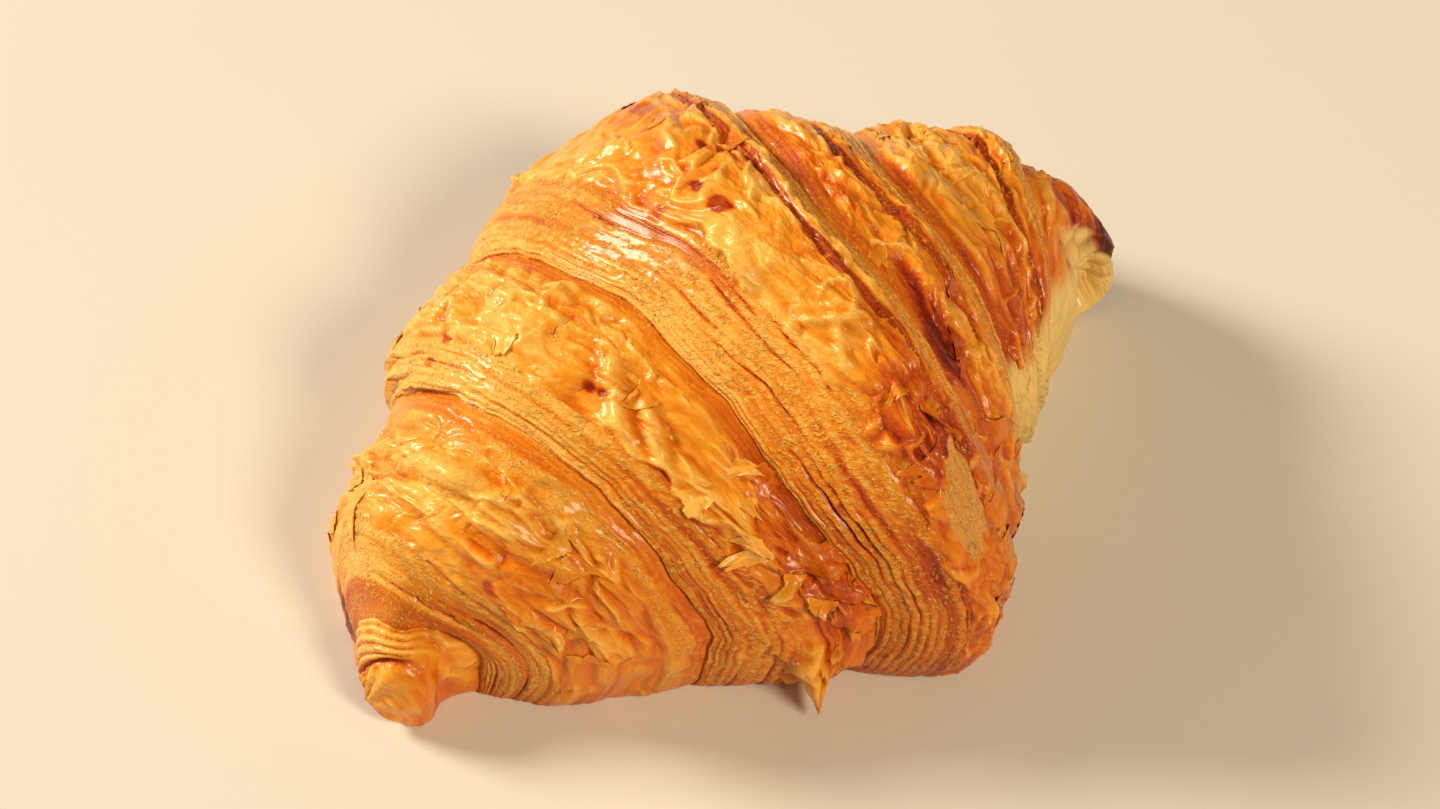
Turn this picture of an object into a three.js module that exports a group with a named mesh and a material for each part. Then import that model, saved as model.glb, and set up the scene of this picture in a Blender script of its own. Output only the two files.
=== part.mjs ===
// Butter croissant. A triangle of laminated dough is rolled up along X, so its surface is a row of
// overlapping wraps: three lips face the left tip, three face the right, and the widest wrap sits
// between them. Millimetres, +Z up, resting on its flat underside, with the middle of its box over
// the origin.
import * as THREE from 'three';

// ---- driving dimensions -----------------------------------------------------------------------
const LEFT_TIP_X = -67;
const RIGHT_TIP_X = 72;
const TIP_ROUNDING = 7; // length over which each tip closes
const SOLE_SINK = 0.9; // how far the rounded underside is pressed flat
const SOLE_WIDTH = 0.45; // share of the section's height that is squashed by its own weight

// The envelope of the wraps: x, half width, height, sideways shift, clearance below.
const STATIONS = [
  [-67, 7.5, 15.5, -5.0, 0],
  [-63, 11.5, 20.5, -1.0, 0],
  [-58, 15.0, 26.0, 4.0, 0],
  [-52, 18.5, 30.5, 3.5, 0],
  [-45, 25.0, 37.0, 2.5, 0],
  [-37, 31.5, 42.5, 4.0, 0],
  [-26, 37.5, 45.0, 3.0, 0],
  [-10, 46.5, 49.5, 2.5, 0],
  [6, 52.5, 57.5, -2.5, 0],
  [21, 47.0, 52.0, 3.0, 0],
  [32, 34.5, 47.5, 2.0, 0],
  [44, 27.0, 39.5, 3.5, 0],
  [53, 22.0, 36.0, 3.5, 0],
  [59, 17.5, 34.0, 3.5, 0],
  [65, 11.0, 26.0, 1.0, 1.5],
  [72, 7.5, 20.5, -6.5, 4.0],
];

// Each lip is the torn, layered edge of a wrap. Edge and band are measured at -90, -45, 0, 45 and
// 90 degrees round from the crown, back to front; band is the width of the layered edge, drop is
// the step down to the next wrap, and facing says which tip it looks at.
const LIPS = [
  { facing: -1, edge: [-64.5, -64, -63, -60.5, -52], band: [5, 7, 8, 10, 8], drop: 6.5, layers: 4 },
  { facing: -1, edge: [-39, -41, -37.5, -30.5, -25.5], band: [7, 6.5, 8, 9, 12], drop: 5.5, layers: 4 },
  { facing: -1, edge: [-19, -18, -13.5, -10.5, -5.5], band: [17, 16, 14, 15, 12.5], drop: 5.5, layers: 6 },
  { facing: 1, edge: [29, 25, 16.5, 17, 18], band: [5, 5, 4.5, 4.5, 4.5], drop: 5, layers: 3 },
  { facing: 1, edge: [44, 39, 32.5, 32.5, 32.5], band: [5, 5, 4.5, 4.5, 4.5], drop: 4.5, layers: 3 },
  { facing: 1, edge: [61.5, 62, 59.5, 54, 48], band: [5, 5, 5, 5, 5], drop: 5, layers: 3 },
];
const LIP_CURL = THREE.MathUtils.degToRad(112); // past 90 degrees, so every lip overhangs

const LAYER_HEIGHT = 1.1; // relief of the layers on a lip
const BLISTER_HEIGHT = 1.6; // relief of the puffed skin
const BLISTER_LENGTH = 13;
const FLAP = { x: -13, angle: 104, reach: 4.5, length: 5, spread: 9 }; // loose flake, low at the front

// How finely the skin is cut into facets.
const COLUMNS = 52;
const SKIN_ROWS = 8;
const TIP_ROWS = 7;

// ---- small helpers ----------------------------------------------------------------------------
const { clamp, smoothstep, degToRad } = THREE.MathUtils;

/** A smooth curve through the points (xs, vs). */
function through(x, xs, vs) {
  const last = xs.length - 1;
  let i = 0;
  while (i < last - 1 && x > xs[i + 1]) i += 1;
  const slope = (k) => {
    const a = Math.max(k - 1, 0);
    const b = Math.min(k + 1, last);
    return (vs[b] - vs[a]) / (xs[b] - xs[a]);
  };
  const h = xs[i + 1] - xs[i];
  const t = clamp((x - xs[i]) / h, 0, 1);
  const [t2, t3] = [t * t, t * t * t];
  return (2 * t3 - 3 * t2 + 1) * vs[i] + (t3 - 2 * t2 + t) * h * slope(i)
    + (3 * t2 - 2 * t3) * vs[i + 1] + (t3 - t2) * h * slope(i + 1);
}

/** A value that runs round the section through five values; the underside takes their ends' mean. */
function round(angle, values) {
  const low = (values[0] + values[4]) / 2;
  const beside = (value) => (value + 3 * low) / 4;
  const knots = [-5, -4, -2, -1, 0, 1, 2, 4, 5].map((quarter) => (quarter * Math.PI) / 4);
  return through(angle, knots, [beside(values[4]), low, ...values, low, beside(values[0])]);
}

// ---- the form ---------------------------------------------------------------------------------
const STATION_X = STATIONS.map((station) => station[0]);
const along = (x, column) => through(x, STATION_X, STATIONS.map((station) => station[column]));

/** The rounding that closes both tips, 1 along the body and 0 at the very ends. */
function closing(x) {
  const left = clamp((x - LEFT_TIP_X) / TIP_ROUNDING, 0, 1);
  const right = clamp((RIGHT_TIP_X - x) / TIP_ROUNDING, 0, 1);
  return Math.sqrt(1 - (1 - left) ** 2) * Math.sqrt(1 - (1 - right) ** 2);
}

/** The point at x, turned by angle from the crown and sunk by depth below the envelope. */
function place(x, angle, depth) {
  const base = along(x, 4);
  const height = along(x, 2) - base + SOLE_SINK;
  const core = (height * SOLE_WIDTH) / (1 + SOLE_WIDTH);
  const rise = (Math.cos(angle) + SOLE_WIDTH) / (1 + SOLE_WIDTH);
  const softRise = (rise + Math.hypot(rise, 0.04)) / 2;
  const y = -along(x, 1) * closing(x) * Math.sin(angle);
  const z = (height * softRise - core) * closing(x);
  const radius = Math.hypot(y, z) + 1e-9;
  const under = smoothstep(Math.abs(angle), degToRad(100), degToRad(125));
  const sunk = Math.min(depth * (1 - 0.8 * under), 0.85 * radius);
  const keep = 1 - sunk / radius;
  return [x, along(x, 3) + y * keep, Math.max(0, base + core + z * keep - SOLE_SINK)];
}

/** Puffed and dented skin, as a depth: a few crossing waves that never line up. */
function blisters(x, angle) {
  const u = (x * 2 * Math.PI) / BLISTER_LENGTH;
  const waves = Math.sin(u + 2.1 * angle) * Math.cos(3 * angle - 0.31 * u)
    + 0.6 * Math.sin(1.7 * u - 4 * angle + 1) + 0.4 * Math.cos(5 * angle + 0.6 * u);
  return -0.5 * BLISTER_HEIGHT * waves;
}

/** The loose flake that hangs out below the front. */
function flap(x, angle) {
  const alongX = Math.exp(-(((x - FLAP.x) / FLAP.length) ** 2));
  const around = Math.exp(-(((angle - degToRad(FLAP.angle)) / degToRad(FLAP.spread)) ** 2));
  return -FLAP.reach * alongX * around;
}

/** One row of the surface: x and depth for every column. */
const row = (position) => Array.from({ length: COLUMNS }, (_, column) => {
  const angle = -Math.PI + (2 * Math.PI * column) / COLUMNS;
  const { x, depth } = position(angle);
  return place(x, angle, depth + flap(x, angle));
});

const skinStart = (lip, angle) => round(angle, lip.edge) - lip.facing * round(angle, lip.band);
const crease = (lip, angle) => skinStart(lip, angle)
  + lip.facing * round(angle, lip.band) * Math.sin(LIP_CURL);
const nearCrease = (share) => clamp((share - 0.45) / 0.55, 0, 1) ** 1.8;

/** The rows of one layered lip, from the skin (share 0) down to the crease (share 1). */
function lipRows(lip) {
  const steps = lip.layers * 2 + 1;
  const rows = [];
  for (let i = 0; i <= steps; i += 1) {
    const share = i / steps;
    const curl = LIP_CURL * share;
    const layer = i % 2 && i < steps ? LAYER_HEIGHT : 0;
    const drop = (lip.drop * (1 - Math.cos(curl))) / (1 - Math.cos(LIP_CURL));
    rows.push(row((angle) => ({
      x: skinStart(lip, angle) + lip.facing * round(angle, lip.band) * Math.sin(curl),
      depth: drop + layer * (1 + 0.4 * Math.sin(5 * angle + i)),
    })));
  }
  return lip.facing < 0 ? rows.reverse() : rows;
}

/** The rows of skin between two borders; a side that meets a crease sinks to its drop. */
function skinRows(from, to, leftDrop, rightDrop, count) {
  return Array.from({ length: count - 1 }, (_, i) => {
    const share = (i + 1) / count;
    const sink = rightDrop * nearCrease(share) + leftDrop * nearCrease(1 - share);
    const loose = Math.sin(Math.PI * share);
    return row((angle) => {
      const x = from(angle) + (to(angle) - from(angle)) * share;
      return { x, depth: sink + loose * blisters(x, angle) };
    });
  });
}

/** The rows that close a tip, from its pole to the first crease or lip. */
function tipRows(tipX, lip) {
  return Array.from({ length: TIP_ROWS - 1 }, (_, i) => {
    const share = (i + 1) / TIP_ROWS;
    const reach = 1 - Math.cos((share * Math.PI) / 2);
    const ring = i % 2 ? 0.5 * LAYER_HEIGHT : 0;
    return row((angle) => ({
      x: tipX + (crease(lip, angle) - tipX) * reach,
      depth: lip.drop * nearCrease(share) + ring,
    }));
  });
}

/** All rows of the surface, from the left tip to the right. */
function surfaceRows() {
  const rows = [...tipRows(LEFT_TIP_X, LIPS[0])];
  LIPS.forEach((lip, i) => {
    rows.push(...lipRows(lip));
    const next = LIPS[i + 1];
    if (!next) return;
    const from = (angle) => (lip.facing < 0 ? skinStart(lip, angle) : crease(lip, angle));
    const to = (angle) => (next.facing < 0 ? crease(next, angle) : skinStart(next, angle));
    const leftDrop = lip.facing > 0 ? lip.drop : 0;
    const rightDrop = next.facing < 0 ? next.drop : 0;
    rows.push(...skinRows(from, to, leftDrop, rightDrop, SKIN_ROWS));
  });
  rows.push(...tipRows(RIGHT_TIP_X, LIPS[LIPS.length - 1]).reverse());
  return rows;
}

/** The middle of a tip's own section, where its facets meet. */
function pole(x) {
  const base = along(x, 4);
  const core = ((along(x, 2) - base + SOLE_SINK) * SOLE_WIDTH) / (1 + SOLE_WIDTH);
  return [x, along(x, 3), base + core - SOLE_SINK];
}

// ---- the solid --------------------------------------------------------------------------------
/** One closed skin of triangles over the rows and the two poles. */
function doughGeometry() {
  const rows = surfaceRows();
  const points = [...rows.flat(), pole(LEFT_TIP_X), pole(RIGHT_TIP_X)];
  const box = new THREE.Box3().setFromPoints(points.map((point) => new THREE.Vector3(...point)));
  const middle = box.getCenter(new THREE.Vector3());
  const [leftPole, rightPole] = [points.length - 2, points.length - 1];
  const faces = [];
  for (let c = 0; c < COLUMNS; c += 1) {
    const d = (c + 1) % COLUMNS;
    faces.push(leftPole, d, c);
    for (let r = 0; r < rows.length - 1; r += 1) {
      const [a, b] = [r * COLUMNS, (r + 1) * COLUMNS];
      faces.push(a + c, a + d, b + d, a + c, b + d, b + c);
    }
    const end = (rows.length - 1) * COLUMNS;
    faces.push(rightPole, end + c, end + d);
  }
  const geometry = new THREE.BufferGeometry();
  geometry.setAttribute('position', new THREE.Float32BufferAttribute(points.flat(), 3));
  geometry.setIndex(faces);
  geometry.translate(-middle.x, -middle.y, 0);
  geometry.computeVertexNormals();
  return geometry;
}

/** Golden-brown baked crust. */
const crustMaterial = () => new THREE.MeshStandardMaterial({
  color: new THREE.Color('#c9812f'),
  roughness: 0.45,
  metalness: 0,
});

function croissant() {
  const mesh = new THREE.Mesh(doughGeometry(), crustMaterial());
  mesh.name = 'croissant';
  return mesh;
}

const group = new THREE.Group();
group.name = 'butter_croissant';
group.add(croissant());

export default group;
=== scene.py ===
import math

import bpy
import numpy as np
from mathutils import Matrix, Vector


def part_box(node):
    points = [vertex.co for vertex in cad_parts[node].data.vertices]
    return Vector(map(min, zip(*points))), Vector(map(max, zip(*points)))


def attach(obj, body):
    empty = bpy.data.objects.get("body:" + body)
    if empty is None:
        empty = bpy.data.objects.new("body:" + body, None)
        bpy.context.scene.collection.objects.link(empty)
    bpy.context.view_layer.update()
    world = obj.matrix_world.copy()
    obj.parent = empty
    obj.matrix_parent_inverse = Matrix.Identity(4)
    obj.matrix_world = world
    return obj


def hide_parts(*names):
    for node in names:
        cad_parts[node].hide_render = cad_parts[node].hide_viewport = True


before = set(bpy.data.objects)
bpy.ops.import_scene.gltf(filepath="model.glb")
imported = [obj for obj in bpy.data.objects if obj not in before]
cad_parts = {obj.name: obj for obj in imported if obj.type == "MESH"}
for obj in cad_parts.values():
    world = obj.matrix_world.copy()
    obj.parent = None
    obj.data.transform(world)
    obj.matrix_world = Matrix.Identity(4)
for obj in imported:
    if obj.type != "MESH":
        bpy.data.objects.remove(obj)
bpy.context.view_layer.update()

NODE_LOW, NODE_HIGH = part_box("croissant")

# ---- driving sizes, in millimetres and degrees ----
# The form is the one in the frame, cut far finer, with the layers, wrinkles and flakes on top.
LEFT_TIP_X, RIGHT_TIP_X = -67.0, 72.0
MM = (NODE_HIGH.x - NODE_LOW.x) / (RIGHT_TIP_X - LEFT_TIP_X)  # one millimetre in the frame
TIP_ROUNDING = 7.0
SOLE_SINK = 0.9  # how far the form reaches below the floor, where it is cut flat
SOLE_WIDTH = 0.45  # the sole starts where the cosine of the turn falls to minus this
SOLE_SOFTNESS = 0.04

# The envelope: x and these four.
HALF_WIDTH, HEIGHT, SHIFT, CLEARANCE = 1, 2, 3, 4
STATIONS = np.array([
    [-67, 7.5, 15.5, -5.0, 0],
    [-63, 11.5, 20.5, -1.0, 0],
    [-58, 15.0, 26.0, 4.0, 0],
    [-52, 18.5, 30.5, 3.5, 0],
    [-45, 25.0, 37.0, 2.5, 0],
    [-37, 31.5, 42.5, 4.0, 0],
    [-26, 37.5, 45.0, 3.0, 0],
    [-10, 46.5, 49.5, 2.5, 0],
    [6, 52.5, 57.5, -2.5, 0],
    [21, 47.0, 52.0, 3.0, 0],
    [32, 34.5, 47.5, 2.0, 0],
    [44, 27.0, 39.5, 3.5, 0],
    [53, 22.0, 36.0, 3.5, 0],
    [59, 17.5, 34.0, 3.5, 0],
    [65, 11.0, 26.0, 1.0, 1.5],
    [72, 7.5, 20.5, -6.5, 4.0],
])

# Each lip is the torn, layered edge of a wrap. Its edge's x and its band's width are given at -90,
# -45, 0, 45 and 90 degrees from the crown; drop is the depth of the crease that it rolls into.
LIPS = [
    dict(facing=-1, edge=(-64.5, -64, -63, -60.5, -52), band=(5, 7, 8, 10, 8), drop=6.5, layers=13),
    dict(facing=-1, edge=(-39, -41, -37.5, -30.5, -25.5), band=(7, 6.5, 8, 9, 12), drop=5.5, layers=13),
    dict(facing=-1, edge=(-19, -18, -13.5, -10.5, -5.5), band=(17, 16, 14, 15, 12.5), drop=5.5,
         layers=16),
    dict(facing=1, edge=(29, 25, 16.5, 17, 18), band=(5, 5, 4.5, 4.5, 4.5), drop=5.0, layers=9),
    dict(facing=1, edge=(44, 39, 32.5, 32.5, 32.5), band=(5, 5, 4.5, 4.5, 4.5), drop=4.5, layers=9),
    dict(facing=1, edge=(61.5, 62, 59.5, 54, 48), band=(5, 5, 5, 5, 5), drop=5.0, layers=9),
]
NUB_LIP, LEFT_LIP = 0, 1
LIP_CURL = math.radians(103)  # how far a lip rolls over, from the skin into its crease
RAGGED = (0.12, 1.0, 1.0, 1.0, 1.0, 1.0)  # how much each lip wanders
CREASE_KEEP = 0.65  # the share of a drop that the form takes
CREASE_FROM = 0.45  # the share of a wrap after which it sinks to its crease
LIPS_FADE, RELIEF_FADES = (100, 125), (104, 122)  # the turns at which they end underneath
LINED_LIMIT = -22.0  # the skin above a crease is lined like the layers only left of this
NUB_ROLLS = 4.5
SHEET_HEIGHT = 3.4
# The hollows that HOLLOW_SIZE finds are given painted shade in the crust's tone, and the ridges a
# painted highlight.
HOLLOW_SIZE, FLAKE_BED = 0.9, 0.6  # how far the relief is smoothed to find hollows and seat flakes
PEELED = (7.6, 60, 4.2, 11.0, 10)  # x, angle, half width along x and around, turn

# The loose flake at the front: x and angle of its root and tip, and the way that it hangs.
FLAP = dict(root=(-17.0, 74.0), tip=(-13.2, 106.0), reach=6.8, width=7.0)
FLAP_WAY = np.array([-0.48, -0.83, -0.29])

FINENESS = 1.0
COLUMNS = int(520 * FINENESS)
COLUMNS_EVEN = 0.62  # the share of the columns' spacing that is even; the rest favours the crown
ROW_STEP = 0.22 / FINENESS
TIP_RUN, BAND_RUN, WRAP_RUN = 14.0, 1.07, 1.15  # a tip's length of surface; the others' per width
TIP, BAND, WRAP = 0, 1, 2  # the kinds of rows

SEED = 7


# ---- numbers and noise ----
def through(x, xs, vs):
    """A smooth curve through the points (xs, vs)."""
    xs, vs = np.asarray(xs, float), np.asarray(vs, float)
    slope = np.empty_like(vs)
    slope[1:-1] = (vs[2:] - vs[:-2]) / (xs[2:] - xs[:-2])
    slope[0] = (vs[1] - vs[0]) / (xs[1] - xs[0])
    slope[-1] = (vs[-1] - vs[-2]) / (xs[-1] - xs[-2])
    i = np.clip(np.searchsorted(xs, x, side="left") - 1, 0, len(xs) - 2)
    h = xs[i + 1] - xs[i]
    t = np.clip((x - xs[i]) / h, 0, 1)
    t2, t3 = t * t, t * t * t
    return ((2 * t3 - 3 * t2 + 1) * vs[i] + (t3 - 2 * t2 + t) * h * slope[i]
            + (3 * t2 - 2 * t3) * vs[i + 1] + (t3 - t2) * h * slope[i + 1])


def ramp(low, high, x):
    """0 below low, 1 above high, smooth between."""
    t = np.clip((x - low) / (high - low), 0, 1)
    return t * t * (3 - 2 * t)


def turn_ramp(low, high, turn):
    """A ramp of a turn in radians between two in degrees."""
    return ramp(math.radians(low), math.radians(high), turn)


def scramble(cell, seed):
    """A fixed 32-bit number for each integer cell."""
    c = cell.astype(np.uint64)
    h = c[..., 0] * np.uint64(73856093) ^ c[..., 1] * np.uint64(19349663)
    h = h ^ c[..., 2] * np.uint64(83492791) ^ np.uint64(seed * 2654435761 % 2**32)
    h = (h & np.uint64(0xFFFFFFFF)) * np.uint64(2246822519) & np.uint64(0xFFFFFFFF)
    h = (h ^ (h >> np.uint64(15))) * np.uint64(3266489917) & np.uint64(0xFFFFFFFF)
    return h ^ (h >> np.uint64(16))


def parts(h):
    """Three numbers from 0 to 1 out of each scrambled one."""
    return [((h >> np.uint64(s)) & np.uint64(1023)).astype(np.float32) / 1023 for s in (0, 10, 20)]


def noise(p, seed):
    """Smooth noise, about -1 to 1."""
    p = p + 500.0
    cell = np.floor(p)
    f = (p - cell).astype(np.float32)
    cell = cell.astype(np.int64)
    w = f * f * f * (f * (f * 6 - 15) + 10)
    total = np.zeros(p.shape[:-1], np.float32)
    for corner in np.ndindex(2, 2, 2):
        g = parts(scramble(cell + np.array(corner), seed + SEED))
        dot = sum((2 * g[k] - 1) * (f[..., k] - corner[k]) for k in range(3))
        for k in range(3):
            dot = dot * (w[..., k] if corner[k] else 1 - w[..., k])
        total += dot
    return 1.6 * total


def cells(p, seed):
    """Distances to the nearest and second nearest cell centre, and a number for that cell."""
    p = p + 500.0
    cell = np.floor(p).astype(np.int64)
    near = np.full(p.shape[:-1], 9.0, np.float32)
    second = near.copy()
    label = np.zeros_like(near)
    for step in np.ndindex(3, 3, 3):
        c = cell + np.array(step) - 1
        h = scramble(c, seed + SEED)
        g = parts(h)
        d = np.sqrt(sum((c[..., k] + g[k] - p[..., k]) ** 2 for k in range(3))).astype(np.float32)
        closer = d < near
        second = np.where(closer, near, np.minimum(second, d))
        label = np.where(closer, g[1], label)
        near = np.where(closer, d, near)
    return near, second, label


# ---- the form ----
def round_section(angle, values):
    """A value that runs round the section through five; the underside takes their ends' mean."""
    low = (values[0] + values[4]) / 2
    knots = np.array([-5, -4, -2, -1, 0, 1, 2, 4, 5]) * math.pi / 4
    beside = [(values[4] + 3 * low) / 4, low, *values, low, (values[0] + 3 * low) / 4]
    return through(angle, knots, beside)


def along(x, column):
    return through(x, STATIONS[:, 0], STATIONS[:, column])


def closing(x):
    left = np.clip((x - LEFT_TIP_X) / TIP_ROUNDING, 0, 1)
    right = np.clip((RIGHT_TIP_X - x) / TIP_ROUNDING, 0, 1)
    return np.sqrt(1 - (1 - left) ** 2) * np.sqrt(1 - (1 - right) ** 2)


def core_line(x):
    """At x: the base of the form, its height, and how far above the base its core line runs."""
    base = along(x, CLEARANCE)
    height = along(x, HEIGHT) - base + SOLE_SINK
    return base, height, height * SOLE_WIDTH / (1 + SOLE_WIDTH)


def place(x, angle, depth):
    """Points at x, turned by angle from the crown and sunk by depth below the envelope."""
    base, height, core = core_line(x)
    rise = (np.cos(angle) + SOLE_WIDTH) / (1 + SOLE_WIDTH)
    soft_rise = (rise + np.hypot(rise, SOLE_SOFTNESS)) / 2
    y = -along(x, HALF_WIDTH) * closing(x) * np.sin(angle)
    z = (height * soft_rise - core) * closing(x)
    radius = np.hypot(y, z) + 1e-9
    under = turn_ramp(*LIPS_FADE, np.abs(angle))
    sunk = np.minimum(depth * (1 - 0.8 * under), 0.85 * radius)
    keep = 1 - sunk / radius
    return np.stack([x, along(x, SHIFT) + y * keep, base + core + z * keep - SOLE_SINK], -1)


def column_angles():
    """Angles round the section, closer together over the top than underneath."""
    t = np.linspace(-1, 1, COLUMNS + 1)[:-1]
    return math.pi * (COLUMNS_EVEN * t + (1 - COLUMNS_EVEN) * t ** 3 * np.abs(t))


def ragged(lip, angle):
    """How far a lip wanders from its smooth line."""
    p = np.stack([np.full_like(angle, lip * 3.7), 3.2 * np.cos(angle), 3.2 * np.sin(angle)], -1)
    wander = 0.9 * noise(p, 40 + lip) + 0.35 * noise(p * 3.1, 50 + lip)
    return wander * RAGGED[lip]


class Surface:
    """Rows of the croissant's skin from the left tip to the right, with what each point lies on."""

    def __init__(self):
        self.angle = column_angles()
        self.x, self.depth = [], []
        self.kind, self.share, self.lip = [], [], []
        self.start, self.crease = [], []
        for i, lip in enumerate(LIPS):
            wander = ragged(i, self.angle)
            band = round_section(self.angle, lip["band"])
            start = round_section(self.angle, lip["edge"]) - lip["facing"] * band + wander
            self.start.append(start)
            self.crease.append(start + lip["facing"] * band * math.sin(LIP_CURL))
        self.make_rows()
        self.x, self.depth = np.array(self.x), np.array(self.depth)
        self.kind, self.share, self.lip = map(np.array, (self.kind, self.share, self.lip))
        self.turn = np.broadcast_to(self.angle, self.x.shape)
        self.degrees = np.degrees(self.turn)
        self.points = place(self.x, self.turn, self.depth)

    def on_band(self, lip):
        """Which rows lie on one lip's band, as a column."""
        return ((self.kind == BAND) & (self.lip == lip))[:, None]

    def add(self, x, depth, kind, share, lip):
        self.x.append(x)
        self.depth.append(np.broadcast_to(depth, x.shape))
        self.kind.append(kind)
        self.share.append(share)
        self.lip.append(lip)

    def make_rows(self):
        last = len(LIPS) - 1
        self.tip(LEFT_TIP_X, 0, 1)
        for i in range(last):
            self.band(i)
            self.wrap(i, i + 1)
        self.band(last)
        self.tip(RIGHT_TIP_X, last, -1)

    def tip(self, x, i, order):
        """The rows between a tip's pole and the nearest crease."""
        count = int(TIP_RUN / ROW_STEP)
        shares = np.linspace(0, 1, count + 1)[1:-1][::order]
        for share in shares:
            reach = 1 - math.cos(share * math.pi / 2)
            sink = CREASE_KEEP * LIPS[i]["drop"] * near_crease(share)
            self.add(x + (self.crease[i] - x) * reach, sink, TIP, share, i)

    def band(self, i):
        """The rows of one layered lip, share 0 at the skin and 1 at the crease."""
        lip = LIPS[i]
        count = int((BAND_RUN * lip["band"][2] + lip["drop"]) / ROW_STEP)
        width = round_section(self.angle, lip["band"])
        shares = np.linspace(0, 1, count + 1)
        for share in shares[::-1] if lip["facing"] < 0 else shares:
            curl = LIP_CURL * share
            drop = CREASE_KEEP * lip["drop"] * (1 - math.cos(curl)) / (1 - math.cos(LIP_CURL))
            x = self.start[i] + lip["facing"] * width * math.sin(curl)
            self.add(x, drop, BAND, share, i)

    def wrap(self, i, j):
        """The rows of skin between two lips; a side that meets a crease sinks to its drop."""
        left, right = LIPS[i], LIPS[j]
        a = self.start[i] if left["facing"] < 0 else self.crease[i]
        b = self.crease[j] if right["facing"] < 0 else self.start[j]
        drop_a = left["drop"] if left["facing"] > 0 else 0
        drop_b = right["drop"] if right["facing"] < 0 else 0
        count = int(np.mean(b - a) * WRAP_RUN / ROW_STEP)
        for share in np.linspace(0, 1, count + 1)[1:-1]:
            sink = CREASE_KEEP * (drop_b * near_crease(share) + drop_a * near_crease(1 - share))
            self.add(a + (b - a) * share, sink, WRAP, share, i)


def near_crease(share):
    """0 over a wrap's first part, rising to 1 at its crease."""
    return np.clip((share - CREASE_FROM) / (1 - CREASE_FROM), 0, 1) ** 1.8


def normals_of(points):
    around = np.roll(points, -1, 1) - np.roll(points, 1, 1)
    lengthwise = np.gradient(points, axis=0)
    n = np.cross(around, lengthwise)
    n /= np.linalg.norm(n, axis=-1, keepdims=True) + 1e-12
    return n


# ---- relief ----
# Folds and blisters that stand out: x, angle, half length, half width, height, turn from the seam.
BUMPS = [
    (-28, -13, 5.0, 4.0, 1.3, 10),
    (-24, 15, 7.0, 1.5, 1.6, -25),
    (-22.8, 27, 6.0, 1.3, 1.5, -15),
    (-26.5, 30, 6.0, 1.1, 1.0, -8),
    (-20.2, 42, 6.0, 1.8, 1.1, 20),
    (-18.0, 52, 5.0, 1.2, 1.2, -12),
    (-47.3, -5, 9.0, 1.7, 1.7, 14),
    (-45, 17, 8.0, 1.8, 1.6, 10),
    (-51, 4, 7.0, 1.2, 1.3, 8),
    (-48.5, 12, 8.0, 1.0, 1.1, 18),
    (-44, -24, 6.0, 1.5, 1.2, 20),
    (0.5, -36, 5.0, 2.2, 1.0, 30),
    (5, -26, 6.0, 1.0, 0.7, -35),
    (9, -30, 7.0, 1.2, 0.8, -25),
    (0.5, 2, 6.5, 3.6, 1.7, 0),
    (4, 21, 4.5, 0.8, 0.9, 60),
    (3, 24, 4.5, 0.8, 0.8, -20),
    (6, 19, 4.0, 0.8, 0.8, 15),
    (5, 39, 5.0, 1.0, 1.0, -10),
    (7, 45, 5.0, 1.0, 0.9, 12),
    (46, 2, 7.0, 2.0, 0.9, 20),
    (41, -6, 7.0, 1.4, 0.8, -15),
    (36, -14, 8.0, 1.3, 0.9, -8),
    (38.5, 14, 9.0, 1.6, 1.0, 10),
    (43, 24, 8.0, 1.1, 0.9, -12),
    (48, 30, 8.0, 1.0, 0.8, -6),
    (36, 36, 8.0, 1.0, 0.8, 8),
    (27, 24, 8.0, 1.0, 0.8, -8),
    (24, -22, 8.0, 1.2, 0.8, 6),
    (23, -3, 7.0, 1.4, 0.8, 8),
]


def anisotropic(s, across, lengthwise):
    """Coordinates for noise that is across mm wide over a wrap and lengthwise mm along it."""
    r = s.radius / lengthwise
    return np.stack([s.run / across, r * np.cos(s.turn), r * np.sin(s.turn)], -1)


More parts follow.
